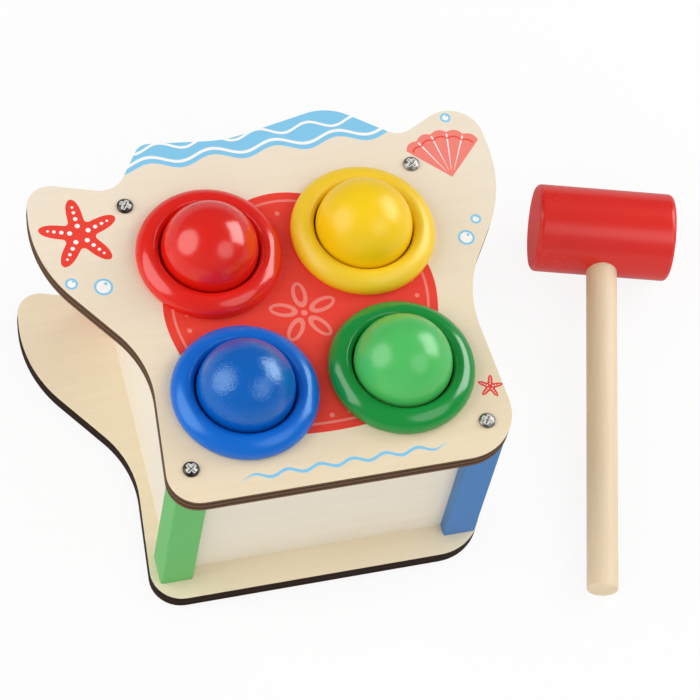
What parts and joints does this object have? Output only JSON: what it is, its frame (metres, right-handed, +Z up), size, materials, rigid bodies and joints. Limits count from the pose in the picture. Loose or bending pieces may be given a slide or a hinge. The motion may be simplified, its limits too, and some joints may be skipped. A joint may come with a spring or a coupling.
{
  "type": "ball pounding bench",
  "caption": "Wooden toy bench with balls seated in coloured collars on a wavy top plate, knocked through with a mallet onto a ramp that runs to the open rear.",
  "frame": {"origin": "centre of the four posts on the underside of the base plate", "axes": "+X to the right seen from the front, +Y to the open rear, +Z up"},
  "size_m": [0.3289, 0.2255, 0.1348],
  "materials": {
    "plywood": "satin, dark burnt edges",
    "post_green": "satin paint",
    "post_blue": "satin paint",
    "post_red": "satin paint",
    "post_yellow": "satin paint",
    "panel": "satin",
    "collar_red": "gloss",
    "collar_yellow": "semi-gloss",
    "collar_blue": "gloss",
    "collar_green": "gloss",
    "rubber": "matte",
    "ball_red": "gloss paint",
    "ball_yellow": "semi-gloss paint",
    "ball_blue": "semi-gloss paint",
    "ball_green": "semi-gloss paint",
    "screw": "dark zinc, bright recess",
    "mallet_red": "gloss paint",
    "handle_wood": "bare, sanded"
  },
  "bodies": {
    "bench": {"top_plate": "plywood", "base_plate": "plywood", "post_front_left": "post_green", "post_front_right": "post_blue", "post_rear_left": "post_red", "post_rear_right": "post_yellow", "front_panel": "panel", "left_panel": "panel", "right_panel": "panel", "ball_ramp": "plywood", "ramp_batten": "plywood", "collar_red": "collar_red", "collar_yellow": "collar_yellow", "collar_blue": "collar_blue", "collar_green": "collar_green", "retainer_red": "rubber", "retainer_yellow": "rubber", "retainer_blue": "rubber", "retainer_green": "rubber", "top_screws": "screw", "base_screws": "screw"},
    "red_ball": {"ball_red": "ball_red"},
    "yellow_ball": {"ball_yellow": "ball_yellow"},
    "blue_ball": {"ball_blue": "ball_blue"},
    "green_ball": {"ball_green": "ball_green"},
    "mallet": {"mallet_head": "mallet_red", "mallet_handle": "handle_wood"}
  },
  "joints": [
    {"name": "red_ball_drop", "type": "slide", "parent": "bench", "child": "red_ball", "axis": [0, 0, -1], "range_m": [0, 0.0729], "deforming": ["retainer_red"]},
    {"name": "yellow_ball_drop", "type": "slide", "parent": "bench", "child": "yellow_ball", "axis": [0, 0, -1], "range_m": [0, 0.0729], "deforming": ["retainer_yellow"]},
    {"name": "blue_ball_drop", "type": "slide", "parent": "bench", "child": "blue_ball", "axis": [0, 0, -1], "range_m": [0, 0.06], "deforming": ["retainer_blue"]},
    {"name": "green_ball_drop", "type": "slide", "parent": "bench", "child": "green_ball", "axis": [0, 0, -1], "range_m": [0, 0.06], "deforming": ["retainer_green"]},
    {"name": "mallet_lift", "type": "slide", "parent": "bench", "child": "mallet", "axis": [0, 0, 1], "range_m": [0, 0.15]}
  ]
}
